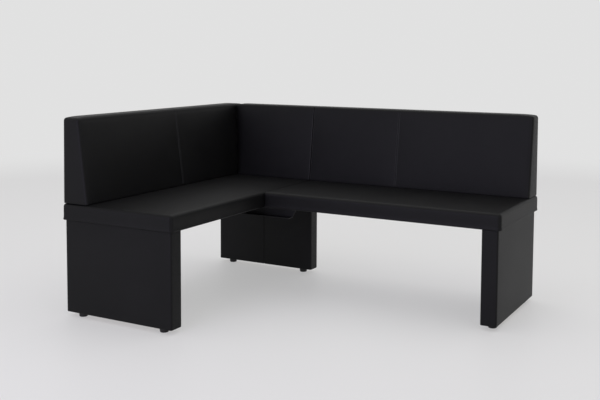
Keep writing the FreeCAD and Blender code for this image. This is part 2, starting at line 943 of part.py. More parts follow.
# Seats of both modules
short_irons = [(SHORT, y) for y in side_back.irons] + [(REAR, y) for y in corner_back.irons]
long_irons = [(LONG, y) for y in long_back.irons]
modules = {
    "short": SimpleNamespace(
        place=SHORT, length=short_length, joint_end=None, crown_stop=short_length - crown_start,
        irons=short_irons, backs=(side_back, corner_back), legs=(front_leg, corner_leg),
    ),
    "long": SimpleNamespace(
        place=LONG, length=long_length, joint_end="near", crown_stop=long_length - size.crown_inset,
        irons=long_irons, backs=(long_back,), legs=(end_leg,),
    ),
}
for name, module in modules.items():
    seat = (module.place, module.length)
    form = (*seat, module.joint_end, module.crown_stop, module.irons)
    keep(f"{name}_seat_cover", seat_cover(*form))
    keep(f"{name}_seat_foam", seat_foam(*form))
    keep(f"{name}_seat_webbing", seat_webbing(*seat, module.irons))
    bolt_holes = [hole for y in module.legs for hole in leg_bolt_holes(*seat, y)]
    iron_holes = [hole for back in module.backs for hole in back.iron_bolt_holes()]
    keep(f"{name}_seat_rails", seat_rails(*seat, iron_holes + coupling_holes()))
    slots = [iron_slot(frame, y, seat_base, rail_top) for frame, y in module.irons]
    half_spare = (size.leg_board_width - size.leg_thickness) / 2
    boards = [
        cross_board(*seat, y - half_spare, size.leg_board_width, bolt_holes + slots) for y in module.legs
    ]
    if name == "short":
        boards.append(cross_board(*seat, tie_start, size.tie_board_width, coupling_holes() + slots))
    keep(f"{name}_seat_boards", group(boards))
    keep(f"{name}_seat_dust_cloth", dust_cloth(*seat, bolt_holes + coupling_holes()))

# Legs with their feet
nuts = []
for name, (place, length, y) in legs.items():
    keep(f"{name}_cover", leg_cover(place, y))
    keep(f"{name}_wadding", leg_wadding(place, y))
    keep(f"{name}_panels", leg_panels(place, y))
    keep(f"{name}_frame", leg_frame(place, length, y))
    for side, x in foot_spots().items():
        keep(f"{name}_{side}_foot", foot_pad(place, x, y))
        keep(f"{name}_{side}_stem", foot_stem(place, x, y))
        nuts.append(foot_nut(place, x, y))
keep("foot_nuts", group(nuts))
keep("leg_bolts", group([bolt for leg in legs.values() for bolt in leg_bolts(*leg)]))

# Backs
backs = {"side_back": side_back, "corner_back": corner_back, "long_back": long_back}
for name, back in backs.items():
    keep(f"{name}_cover", back.cover())
    keep(f"{name}_foam", back.foam())
    keep(f"{name}_boards", back.boards())
    keep(f"{name}_frame", back.frame())
    keep(f"{name}_irons", group(back.iron_bars()))
keep("iron_bolts", group([bolt for back in backs.values() for bolt in back.iron_bolts()]))

# Couplings of the modules
keep("coupling_channel", coupling_channel())
keep("coupling_plate", coupling_plate())
keep("coupling_screws", group(coupling_screws()))

doc.recompute()
for thing in doc.Objects:
    if "Invalid" in thing.State or "Error" in thing.State:
        raise RuntimeError(f"{thing.Name} ({thing.Label}) failed: {thing.State}")
for name, thing in parts.items():
    if thing.Shape.isNull() or not thing.Shape.isValid() or not thing.Shape.Solids:
        raise RuntimeError(f"{name} has no valid solid")

os.makedirs("parts", exist_ok=True)
for name, thing in parts.items():
    thing.Shape.exportStep(f"parts/{name}.step")
    print(name, len(thing.Shape.Solids), "solids", round(thing.Shape.Volume), "mm3")
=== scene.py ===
from math import atan2, ceil, cos, pi, radians

import bmesh
import bpy
from mathutils import Matrix, Vector
from mathutils.bvhtree import BVHTree


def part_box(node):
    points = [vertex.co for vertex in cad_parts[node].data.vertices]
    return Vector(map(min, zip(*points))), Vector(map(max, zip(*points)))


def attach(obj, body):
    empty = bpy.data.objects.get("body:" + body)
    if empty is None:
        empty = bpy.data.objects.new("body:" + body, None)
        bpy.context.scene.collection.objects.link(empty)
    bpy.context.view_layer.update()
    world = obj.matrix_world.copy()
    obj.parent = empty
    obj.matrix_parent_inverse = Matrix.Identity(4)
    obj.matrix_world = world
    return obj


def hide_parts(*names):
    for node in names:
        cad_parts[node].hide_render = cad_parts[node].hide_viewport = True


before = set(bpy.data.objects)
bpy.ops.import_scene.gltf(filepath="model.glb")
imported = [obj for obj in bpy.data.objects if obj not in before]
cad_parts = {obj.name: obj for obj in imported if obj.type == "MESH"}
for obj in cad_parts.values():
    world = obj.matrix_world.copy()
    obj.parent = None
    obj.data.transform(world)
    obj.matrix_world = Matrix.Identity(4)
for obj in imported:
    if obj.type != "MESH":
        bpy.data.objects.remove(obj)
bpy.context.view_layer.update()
scene = bpy.context.scene
scene.view_settings.view_transform = "Standard"

# Camera. It stands a little above table height, turned left to see both sides of the corner. It is
# shifted down, so that the bench stands in the middle of the picture with its uprights upright.
picture_width = 600
focal_pixels = 899.3
principal_row = 120
middle_row = 200
eye = Vector((1.8563, -3.3995, 1.1240))
turn_left = 0.5099
look_down = 0.0767
tilt = 0.0047

camera = bpy.data.cameras.new("camera")
camera.sensor_width = 36
camera.lens = focal_pixels * camera.sensor_width / picture_width
camera.shift_y = (principal_row - middle_row) / picture_width
camera_object = bpy.data.objects.new("camera", camera)
aim = Matrix.Rotation(turn_left, 4, "Z") @ Matrix.Rotation(pi / 2 - look_down, 4, "X")
camera_object.matrix_world = Matrix.Translation(eye) @ aim @ Matrix.Rotation(tilt, 4, "Z")
scene.collection.objects.link(camera_object)
scene.camera = camera_object

# Studio. A pale floor runs out into a pale background, under wide soft lamps. The background
# shows to the camera and in reflections, and lights the bench at a lower level. A veil of the
# background's tone over the floor keeps the shadows faint.
background_tone = (0.755, 0.755, 0.755, 1)
ambient_tone = (0.98, 0.98, 1.0, 1)
ambient_level = 0.66
floor_tone = (0.82, 0.81, 0.80, 1)
floor_veil = 0.5
floor_radius = 14
floor_fades_from = 2.6
floor_fades_to = 6.5


def add_node(tree, kind, **values):
    """A shader node, with its settings and the values of its sockets."""
    node = tree.nodes.new("ShaderNode" + kind)
    for name, value in values.items():
        if hasattr(node, name):
            setattr(node, name, value)
        else:
            node.inputs[name.replace("_", " ")].default_value = value
    return node


def seen_directly(tree):
    """One for rays from the camera, a mirror or glass, and zero for those that light things."""
    path = add_node(tree, "LightPath")
    glossy = add_node(tree, "Math", operation="MAXIMUM")
    seen = add_node(tree, "Math", operation="MAXIMUM")
    tree.links.new(path.outputs["Is Camera Ray"], glossy.inputs[0])
    tree.links.new(path.outputs["Is Glossy Ray"], glossy.inputs[1])
    tree.links.new(glossy.outputs[0], seen.inputs[0])
    tree.links.new(path.outputs["Is Transmission Ray"], seen.inputs[1])
    return seen.outputs[0]


world = bpy.data.worlds.new("studio")
world.use_nodes = True
scene.world = world
tree = world.node_tree
tree.nodes.clear()
ambient = add_node(tree, "Background", Color=ambient_tone, Strength=ambient_level)
backdrop = add_node(tree, "Background", Color=background_tone)
choice = add_node(tree, "MixShader")
world_output = add_node(tree, "OutputWorld")
tree.links.new(seen_directly(tree), choice.inputs[0])
tree.links.new(ambient.outputs[0], choice.inputs[1])
tree.links.new(backdrop.outputs[0], choice.inputs[2])
tree.links.new(choice.outputs[0], world_output.inputs[0])

floor_material = bpy.data.materials.new("studio_floor")
floor_material.use_nodes = True
tree = floor_material.node_tree
tree.nodes.clear()
near_floor = add_node(tree, "BsdfPrincipled", Base_Color=floor_tone, Roughness=0.5)
far_floor = add_node(tree, "Emission", Color=background_tone)
place = add_node(tree, "TexCoord")
distance = add_node(tree, "VectorMath", operation="LENGTH")
fade = add_node(tree, "MapRange", interpolation_type="SMOOTHSTEP")
fade.inputs["From Min"].default_value = floor_fades_from
fade.inputs["From Max"].default_value = floor_fades_to
veil = add_node(tree, "Math", operation="MULTIPLY")
veil.inputs[1].default_value = floor_veil
cover = add_node(tree, "Math", operation="MAXIMUM")
choice = add_node(tree, "MixShader")
floor_output = add_node(tree, "OutputMaterial")
tree.links.new(place.outputs["Object"], distance.inputs[0])
tree.links.new(distance.outputs["Value"], fade.inputs["Value"])
tree.links.new(seen_directly(tree), veil.inputs[0])
tree.links.new(veil.outputs[0], cover.inputs[0])
tree.links.new(fade.outputs[0], cover.inputs[1])
tree.links.new(cover.outputs[0], choice.inputs[0])
tree.links.new(near_floor.outputs[0], choice.inputs[1])
tree.links.new(far_floor.outputs[0], choice.inputs[2])
tree.links.new(choice.outputs[0], floor_output.inputs[0])

mesh = bmesh.new()
bmesh.ops.create_circle(mesh, cap_ends=True, segments=96, radius=floor_radius)
floor_mesh = bpy.data.meshes.new("studio_floor")
mesh.to_mesh(floor_mesh)
mesh.free()
floor_mesh.materials.append(floor_material)
floor = bpy.data.objects.new("studio_floor", floor_mesh)
scene.collection.objects.link(floor)

for name, spot, width, power, tone in (
    ("top_softbox", (0.0, 0.4, 3.6), 4.0, 34, (1.0, 1.0, 0.98)),
    ("right_softbox", (4.2, 1.2, 2.2), 2.8, 6, (1.0, 0.98, 0.95)),
    ("front_fill", (-0.4, -4.8, 1.2), 3.2, 92, (0.73, 0.67, 1.0)),
):
    lamp = bpy.data.lights.new(name, "AREA")
    lamp.size = width
    lamp.energy = power
    lamp.color = tone
    lamp_object = bpy.data.objects.new(name, lamp)
    lamp_object.location = spot
    lamp_object.rotation_euler = (Vector((0, 0, 0.4)) - Vector(spot)).to_track_quat("-Z", "Y").to_euler()
    scene.collection.objects.link(lamp_object)

# Seats. Each is a wooden frame under webbing and foam, upholstered in one piece of artificial
# leather: the top is a low crown, the edges are rounded foam, and a hem is tacked under the frame.
seat_round = 0.016
joint_round = 0.005
joint_run = 0.030
hem_round = 0.004
seat_crown = 0.007
seat_hem = 0.030
lip_height = 0.007
lip_slope = 0.003
lip_out = 0.0015
corner_sink = 0.0022
grid_spacing = 0.018
same_point = 1e-5
hair = 1e-4
nearly_same = 3e-4
near_face = 1e-3
steep_fold = 40
foam_pressure = 4
foam_frames = 12
leather_grain_scale = 620
leather_grain_depth = 0.00025
leather_black = (0.0032, 0.0031, 0.0036, 1)
leather_worn = (0.0052, 0.0051, 0.0056, 1)


def new_group(name, inputs, outputs):
    """An empty node group with its sockets. Returns its tree, its input node and its output node."""
    tree = bpy.data.node_groups.new(name, "ShaderNodeTree")
    for socket, kind in inputs:
        tree.interface.new_socket(socket, in_out="INPUT", socket_type="NodeSocket" + kind)
    for socket, kind in outputs:
        tree.interface.new_socket(socket, in_out="OUTPUT", socket_type="NodeSocket" + kind)
    return tree, tree.nodes.new("NodeGroupInput"), tree.nodes.new("NodeGroupOutput")


def leather_group():
    """Pebbled grain with fine pores, faint creases, painted shade darkening the hollows between the pebbles,
    and a slow change of tone and gloss.
    """
    tree, given, result = new_group(
        "leather_surface",
        (("Vector", "Vector"), ("Grain Scale", "Float"), ("Black", "Color"), ("Worn", "Color")),
        (("Color", "Color"), ("Roughness", "Float"), ("Height", "Float")),
    )
    links = tree.links

    bend = add_node(tree, "TexNoise", Scale=180, Detail=2)
    links.new(given.outputs["Vector"], bend.inputs["Vector"])
    shift = add_node(tree, "VectorMath", operation="MULTIPLY_ADD")
    shift.inputs[1].default_value = (0.0012, 0.0012, 0.0012)
    links.new(bend.outputs["Color"], shift.inputs[0])
    links.new(given.outputs["Vector"], shift.inputs[2])

    pebbles = add_node(tree, "TexVoronoi", feature="DISTANCE_TO_EDGE")
    links.new(shift.outputs[0], pebbles.inputs["Vector"])
    links.new(given.outputs["Grain Scale"], pebbles.inputs["Scale"])
    domes = add_node(tree, "MapRange", interpolation_type="SMOOTHSTEP")
    domes.inputs["From Max"].default_value = 0.35
    links.new(pebbles.outputs["Distance"], domes.inputs["Value"])

    pores = add_node(tree, "TexNoise", Scale=2600, Detail=2)
    links.new(given.outputs["Vector"], pores.inputs["Vector"])
    folds = add_node(tree, "TexNoise", Scale=34, Detail=5, Roughness=0.6, Distortion=0.6)
    links.new(given.outputs["Vector"], folds.inputs["Vector"])
    crease = add_node(tree, "Math", operation="SUBTRACT")
    crease.inputs[1].default_value = 0.5
    links.new(folds.outputs["Fac"], crease.inputs[0])
    ridge = add_node(tree, "Math", operation="ABSOLUTE")
    links.new(crease.outputs[0], ridge.inputs[0])
    creased = add_node(tree, "MapRange", interpolation_type="SMOOTHSTEP")
    creased.inputs["From Max"].default_value = 0.035
    links.new(ridge.outputs[0], creased.inputs["Value"])

    grain = add_node(tree, "Math", operation="MULTIPLY_ADD")
    grain.inputs[1].default_value = 0.25
    links.new(pores.outputs["Fac"], grain.inputs[0])
    links.new(domes.outputs[0], grain.inputs[2])
    height = add_node(tree, "Math", operation="MULTIPLY_ADD")
    height.inputs[1].default_value = 0.35
    links.new(creased.outputs[0], height.inputs[0])
    links.new(grain.outputs[0], height.inputs[2])
    links.new(height.outputs[0], result.inputs["Height"])

    slow = add_node(tree, "TexNoise", Scale=5, Detail=3)
    links.new(given.outputs["Vector"], slow.inputs["Vector"])
    worn = add_node(tree, "MapRange", interpolation_type="SMOOTHSTEP")
    worn.inputs["From Min"].default_value = 0.35
    worn.inputs["From Max"].default_value = 0.75
    links.new(slow.outputs["Fac"], worn.inputs["Value"])
    tone = add_node(tree, "Mix", data_type="RGBA")
    links.new(worn.outputs[0], tone.inputs[0])
    links.new(given.outputs["Black"], tone.inputs[6])
    links.new(given.outputs["Worn"], tone.inputs[7])
    # Painted shade: the colour is darkened in the hollows between the pebbles, where the grain is low.
    painted_valley_shade = add_node(tree, "Mix", data_type="RGBA", blend_type="MULTIPLY")
    painted_valley_shade.inputs[7].default_value = (0.55, 0.55, 0.55, 1)
    turned = add_node(tree, "Math", operation="SUBTRACT")
    turned.inputs[0].default_value = 1
    links.new(domes.outputs[0], turned.inputs[1])
    links.new(turned.outputs[0], painted_valley_shade.inputs[0])
    links.new(tone.outputs[2], painted_valley_shade.inputs[6])
    links.new(painted_valley_shade.outputs[2], result.inputs["Color"])

    gloss = add_node(tree, "MapRange")
    gloss.inputs["To Min"].default_value = 0.50
    gloss.inputs["To Max"].default_value = 0.40
    links.new(domes.outputs[0], gloss.inputs["Value"])
    patchy = add_node(tree, "Math", operation="MULTIPLY_ADD")
    patchy.inputs[1].default_value = 0.06
    links.new(slow.outputs["Fac"], patchy.inputs[0])
    links.new(gloss.outputs[0], patchy.inputs[2])
    links.new(patchy.outputs[0], result.inputs["Roughness"])
    return tree


leather_surface = leather_group()


def leather_material():
    """Black artificial leather, matt, with a low gloss on its pebbles."""
    material = bpy.data.materials.new("black_leather")
    material.use_nodes = True
    tree = material.node_tree
    shader = tree.nodes["Principled BSDF"]
    shader.inputs["Specular IOR Level"].default_value = 0.16
    place = add_node(tree, "TexCoord")
    surface = add_node(tree, "Group")
    surface.node_tree = leather_surface
    surface.inputs["Grain Scale"].default_value = leather_grain_scale
    surface.inputs["Black"].default_value = leather_black
    surface.inputs["Worn"].default_value = leather_worn
    bump = add_node(tree, "Bump", Strength=0.5, Distance=leather_grain_depth)
    tree.links.new(place.outputs["Object"], surface.inputs["Vector"])
    tree.links.new(surface.outputs["Color"], shader.inputs["Base Color"])
    tree.links.new(surface.outputs["Roughness"], shader.inputs["Roughness"])
    tree.links.new(surface.outputs["Height"], bump.inputs["Height"])
    tree.links.new(bump.outputs[0], shader.inputs["Normal"])
    return material


black_leather = leather_material()


def block(corner):
    """A block whose corners are given by a function of far x, far y and top."""
    mesh = bmesh.new()
    bmesh.ops.create_cube(mesh, size=1)
    for vert in mesh.verts:
        vert.co = corner(vert.co.x > 0, vert.co.y > 0, vert.co.z > 0)
    return mesh


def facing(mesh, direction):
    """The mesh's one face that points most in a direction."""
    mesh.normal_update()
    return max(mesh.faces, key=lambda face: face.normal.dot(Vector(direction)))


def grow_inwards(mesh, face, corner):
    """Extrudes a face and puts each new corner where corner(old place) says. Returns the new face."""
    made = bmesh.ops.extrude_face_region(mesh, geom=[face], use_keep_orig=False)["geom"]
    bmesh.ops.delete(mesh, geom=[face], context="FACES_ONLY")
    grown = next(item for item in made if isinstance(item, bmesh.types.BMFace))
    for vert in grown.verts:
        vert.co = corner(vert.co)
    return grown


def frame_room(mesh, hem, low, high, top_corner):
    """Hollows the block from below for its wooden frame, and leaves a hem turned in under it."""
    base = facing(mesh, (0, 0, -1))
    bmesh.ops.inset_region(mesh, faces=[base], thickness=hem, use_even_offset=True)
    middle = (low + high) / 2

    def wall(place):
        x = low.x if place.x < middle.x else high.x
        y = low.y if place.y < middle.y else high.y
        return Vector((x, y, low.z))

    lip = grow_inwards(mesh, base, lambda place: Vector((place.x, place.y, low.z)))
    room = grow_inwards(mesh, lip, wall)
    return grow_inwards(mesh, room, top_corner)


def sharp_edges(mesh, wanted):
    """The edges between faces that meet at a steep angle, where their middle is wanted."""
    mesh.normal_update()
    steep = cos(radians(steep_fold))
    return [
        edge for edge in mesh.edges
        if len(edge.link_faces) == 2
        and edge.link_faces[0].normal.dot(edge.link_faces[1].normal) < steep
        and wanted((edge.verts[0].co + edge.verts[1].co) / 2)
    ]


def round_off(mesh, wanted, radius, segments):
    bmesh.ops.bevel(
        mesh, geom=sharp_edges(mesh, wanted), offset=radius, offset_type="OFFSET",
        segments=segments, profile=0.5, affect="EDGES", material=-1, clamp_overlap=True,
    )


def cut_at(mesh, normal, places):
    """Cuts the mesh by planes across an axis."""
    for place in places:
        bmesh.ops.bisect_plane(
            mesh, geom=mesh.verts[:] + mesh.edges[:] + mesh.faces[:], dist=same_point,
            plane_co=Vector(normal) * place, plane_no=normal,
        )


def evenly(low, high, spacing):
    """Places between two ends, about one spacing apart, without the ends."""
    count = max(1, ceil((high - low) / spacing))
    return [low + (high - low) * i / count for i in range(1, count)]


def as_piece(name, mesh, material):
    """A scene object from a bmesh, with smooth faces and its place in its mesh."""
    bmesh.ops.recalc_face_normals(mesh, faces=mesh.faces[:])
    for face in mesh.faces:
        face.smooth = True
    data = bpy.data.meshes.new(name)
    mesh.to_mesh(data)
    mesh.free()
    data.materials.append(material)
    piece = bpy.data.objects.new(name, data)
    scene.collection.objects.link(piece)
    return piece


def stuff(piece, hold, most):
    """Swells a piece like foam under stretched leather, held where hold(place) is 1, by most at most."""
    held = piece.vertex_groups.new(name="held")
    for vert in piece.data.vertices:
        held.add([vert.index], hold(vert.co), "REPLACE")
    cloth = piece.modifiers.new("foam", "CLOTH")
    cloth.settings.vertex_group_mass = "held"
    cloth.settings.quality = 4
    cloth.settings.use_pressure = True
    cloth.settings.uniform_pressure_force = foam_pressure
    cloth.settings.effector_weights.gravity = 0
    cloth.point_cache.frame_start = 1
    cloth.point_cache.frame_end = foam_frames
    for step in range(foam_frames + 1):
        scene.frame_set(step)
    swollen = piece.evaluated_get(bpy.context.evaluated_depsgraph_get()).data
    moves = [new.co - old.co for new, old in zip(swollen.vertices, piece.data.vertices)]
    longest = max(move.length for move in moves)
    share = min(1, most / longest)
    for vert, move in zip(piece.data.vertices, moves):
        vert.co += move * share
    piece.modifiers.remove(cloth)
    piece.vertex_groups.clear()


def finish_pad(piece, *nodes, fill=0.9):
    """Smooths an upholstered piece and puts it in place of its leather and foam."""
    smooth = piece.modifiers.new("smooth", "SUBSURF")
    smooth.levels = 1
    smooth.render_levels = 1
    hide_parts(*nodes)
    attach(piece, "bench")


def trim(piece, low, high, top, touching):
    """Sinks the sewn upright corners and swells the doubled hem, but not where the seats touch."""
    normals = [vert.normal.copy() for vert in piece.data.vertices]
    for vert, normal in zip(piece.data.vertices, normals):
        place = vert.co
        off_x = min(place.x - low.x, high.x - place.x)
        off_y = min(place.y - low.y, high.y - place.y)
        if min(off_x, off_y) > seat_round / 2 or touching(place):
            continue
        outwards = Vector((normal.x, normal.y, 0))
        if place.z < low.z + lip_height + hair:
            if outwards.length > 0.6:
                vert.co += outwards.normalized() * lip_out
        elif abs(off_x - off_y) < nearly_same:
            vert.co -= normal * corner_sink * min(1, max(0, (top - place.z) / seat_round))


def seat(name, joint_x=None, beside=None, backs=()):
    """One seat. joint_x is the end that meets the other module, or beside is the Y from where the
    right side does, and backs are where backs stand."""
    low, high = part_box(name + "_cover")
    top = high.z - seat_crown
    rails_low, rails_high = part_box(name + "_rails")
    webbing_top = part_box(name + "_webbing")[1].z

    def corner(far_x, far_y, upper):
        return Vector((high.x if far_x else low.x, high.y if far_y else low.y, top if upper else low.z))

    mesh = block(corner)
    frame_room(mesh, seat_hem, rails_low, rails_high, lambda place: Vector((place.x, place.y, webbing_top)))

    def outside(place):
        return min(place.x - low.x, high.x - place.x, place.y - low.y, high.y - place.y) < hair

    def at_joint(place):
        return joint_x is not None and abs(place.x - joint_x) < hair

    base = low.z + hair
    round_off(mesh, lambda p: outside(p) and p.z > base and not at_joint(p), seat_round, segments=6)
    round_off(mesh, lambda p: p.z > base and at_joint(p), joint_round, segments=3)
    round_off(mesh, lambda p: outside(p) and p.z < base, hem_round, segments=2)
    cut_at(mesh, (1, 0, 0), evenly(low.x + seat_round, high.x - seat_round, grid_spacing))
    cut_at(mesh, (0, 1, 0), evenly(low.y + seat_round, high.y - seat_round, grid_spacing))
    lip_top = low.z + lip_height + lip_slope
    cut_at(mesh, (0, 0, 1), [low.z + lip_height, lip_top] + evenly(lip_top, top - seat_round, grid_spacing))
    if beside is not None:
        tighter = seat_round - joint_round
        for vert in mesh.verts:
            across = vert.co.x - high.x + seat_round
            up = vert.co.z - top + seat_round
            if across > -hair and up > -hair and vert.co.y > beside:
                share = min(1, (vert.co.y - beside) / joint_run)
                vert.co.x += tighter * share * (1 - across / seat_round)
                vert.co.z += tighter * share * (1 - up / seat_round)
    bmesh.ops.remove_doubles(mesh, verts=mesh.verts[:], dist=nearly_same)
    piece = as_piece(name + "_pad", mesh, black_leather)

    def hold(place):
        if place.z < top - near_face:
            return 1
        for back_low, back_high in backs:
            if back_low.x <= place.x <= back_high.x and back_low.y <= place.y <= back_high.y:
                return 1
        edge = min(place.x - low.x, high.x - place.x, place.y - low.y, high.y - place.y)
        return 1 if edge < seat_round else 0

    def touching(place):
        if joint_x is not None:
            return abs(place.x - joint_x) < 2 * joint_round
        return place.x > high.x - near_face and place.y > beside - joint_round

    stuff(piece, hold, seat_crown)
    trim(piece, low, high, top, touching)
    finish_pad(piece, name + "_cover", name + "_foam")


side_back_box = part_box("side_back_cover")
corner_back_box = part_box("corner_back_cover")
long_back_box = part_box("long_back_cover")
long_seat_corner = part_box("long_seat_cover")[0]
seat("short_seat", beside=long_seat_corner.y, backs=(side_back_box, corner_back_box))
seat("long_seat", joint_x=long_seat_corner.x, backs=(long_back_box,))

# Backs. Each is a wooden wedge under foam, in leather that is sewn together along upright seams,
# with a row of stitches on each side, and seams follow the edges of the front. The corner's back
# butts against the front of the side back.
back_round = 0.012
back_lean = 0.005
back_slope = 0.046
back_bulge = 0.005
back_hem = 0.014
back_crown = 0.005
crown_run = 0.070
corner_gap = 0.0003
back_rows = 5
back_joint_round = 0.003
edge_seam_width = 0.004
edge_seam_sink = 0.0014
stitch_row = 0.0042
seam_heights = ((0, -0.0006), (0.002, 0.0008), (stitch_row, -0.0006), (0.007, 0))
stitch_pitch = 0.0046
stitch_length = 0.0034
stitch_width = 0.0011
stitch_height = 0.0007
stitch_margin = 0.010
ray_clear = 0.05
down = Vector((0, 0, -1))
# The thread's tones are dark grey, lighter than its black: partly the thread's own colour, partly a painted
# highlight standing in for the glint of the stitches along the seams.
thread_dark_with_painted_glint = (0.050, 0.050, 0.056, 1)
thread_light_with_painted_glint = (0.100, 0.100, 0.110, 1)
side_seam_y = 0.035
long_seam_x = 0.1935
back_foot = side_back_box[0].z
back_tall = side_back_box[1].z - back_foot


def fine_group():
    """Fine speckle, stretched where the stuff has a grain, with a slow change of tone over it."""
    tree, given, result = new_group(
        "fine_surface",
        (
            ("Vector", "Vector"), ("Stretch", "Vector"), ("Scale", "Float"),
            ("Dark", "Color"), ("Light", "Color"),
        ),
        (("Color", "Color"), ("Height", "Float")),
    )
    links = tree.links
    stretched = add_node(tree, "VectorMath", operation="MULTIPLY")
    speckle = add_node(tree, "TexNoise", Detail=4)
    slow = add_node(tree, "TexNoise", Scale=7, Detail=2)
    both = add_node(tree, "Math", operation="ADD")
    spread = add_node(tree, "MapRange", interpolation_type="SMOOTHSTEP")
    spread.inputs["From Min"].default_value = 0.7
    spread.inputs["From Max"].default_value = 1.3
    tone = add_node(tree, "Mix", data_type="RGBA")
    links.new(given.outputs["Vector"], stretched.inputs[0])
    links.new(given.outputs["Stretch"], stretched.inputs[1])
    links.new(stretched.outputs[0], speckle.inputs["Vector"])
    links.new(given.outputs["Scale"], speckle.inputs["Scale"])
    links.new(given.outputs["Vector"], slow.inputs["Vector"])
    links.new(speckle.outputs["Fac"], both.inputs[0])
    links.new(slow.outputs["Fac"], both.inputs[1])
    links.new(both.outputs[0], spread.inputs["Value"])
    links.new(spread.outputs[0], tone.inputs[0])
    links.new(given.outputs["Dark"], tone.inputs[6])
    links.new(given.outputs["Light"], tone.inputs[7])
    links.new(tone.outputs[2], result.inputs["Color"])
    links.new(speckle.outputs["Fac"], result.inputs["Height"])
    return tree


fine_surface = fine_group()


def fine_material(name, scale, dark, light, roughness, depth, stretch=(1, 1, 1), metallic=0, sheen=0.5):
    """A material with fine_surface's speckle in its colour, gloss and bumps. sheen is its specular level."""
    material = bpy.data.materials.new(name)
    material.use_nodes = True
    tree = material.node_tree
    shader = tree.nodes["Principled BSDF"]
    shader.inputs["Metallic"].default_value = metallic
    shader.inputs["Specular IOR Level"].default_value = sheen
    place = add_node(tree, "TexCoord")
    surface = add_node(tree, "Group")
    surface.node_tree = fine_surface
    surface.inputs["Stretch"].default_value = stretch
    surface.inputs["Scale"].default_value = scale
    surface.inputs["Dark"].default_value = dark
    surface.inputs["Light"].default_value = light
    gloss = add_node(tree, "MapRange")
    gloss.inputs["To Min"].default_value = roughness - 0.08
    gloss.inputs["To Max"].default_value = roughness + 0.08
    bump = add_node(tree, "Bump", Strength=0.4, Distance=depth)
    tree.links.new(place.outputs["Object"], surface.inputs["Vector"])
    tree.links.new(surface.outputs["Color"], shader.inputs["Base Color"])
    tree.links.new(surface.outputs["Height"], gloss.inputs["Value"])
    tree.links.new(gloss.outputs[0], shader.inputs["Roughness"])
    tree.links.new(surface.outputs["Height"], bump.inputs["Height"])
    tree.links.new(bump.outputs[0], shader.inputs["Normal"])
    return material


thread = fine_material(
    "thread", scale=1800, dark=thread_dark_with_painted_glint, light=thread_light_with_painted_glint, roughness=0.5, depth=0.0001,
)


def one_stitch():
    """A short twist of thread, one unit across each way."""
    mesh = bmesh.new()
    bmesh.ops.create_uvsphere(mesh, u_segments=6, v_segments=4, radius=0.5)
    data = bpy.data.meshes.new("one_stitch")
    mesh.to_mesh(data)
    mesh.free()
    return data


def stamp(mesh, template, placed):
    """Adds a copy of a small mesh where a matrix places it."""
    template.transform(placed)
    mesh.from_mesh(template)
    template.transform(placed.inverted())


def sew(name, piece, rows):
    """Rows of stitches on a piece. A row is its start, its end and the way from there to the leather."""
    surface = BVHTree.FromObject(piece, bpy.context.evaluated_depsgraph_get())
    stitch = one_stitch()
    size = Matrix.Diagonal((stitch_length, stitch_width, stitch_height, 1))
    mesh = bmesh.new()
    for start, end, inwards in rows:
        run = end - start
        for i in range(int(run.length / stitch_pitch) + 1):
            spot, normal, _, _ = surface.ray_cast(start + run.normalized() * i * stitch_pitch, inwards)
            if spot is None:
                continue
            lengthwise = (run - run.dot(normal) * normal).normalized()
            turn = Matrix((lengthwise, normal.cross(lengthwise), normal)).transposed().to_4x4()
            stamp(mesh, stitch, Matrix.Translation(spot) @ turn @ size)
    bpy.data.meshes.remove(stitch)
    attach(as_piece(name, mesh, thread), "bench")


def seam_cuts(seam):
    """Places for the cuts that a seam is shaped from."""
    return [seam + side * off for off, _ in seam_heights for side in (-1, 1)]


def clear_of_seam(place, seam):
    return abs(place - seam) > seam_heights[-1][0] + grid_spacing / 6


def shape_seam(piece, across, seam, heights, wanted=lambda place: True):
    """Shapes a seam at one place on the across axis, where it is wanted: a thin line between two
    low ridges, with a dip under each row of stitches."""
    normals = [vert.normal.copy() for vert in piece.data.vertices]
    for vert, normal in zip(piece.data.vertices, normals):
        off = abs(vert.co.dot(across) - seam)
        for place, height in heights:
            if abs(off - place) < nearly_same and wanted(vert.co):
                vert.co += normal * height


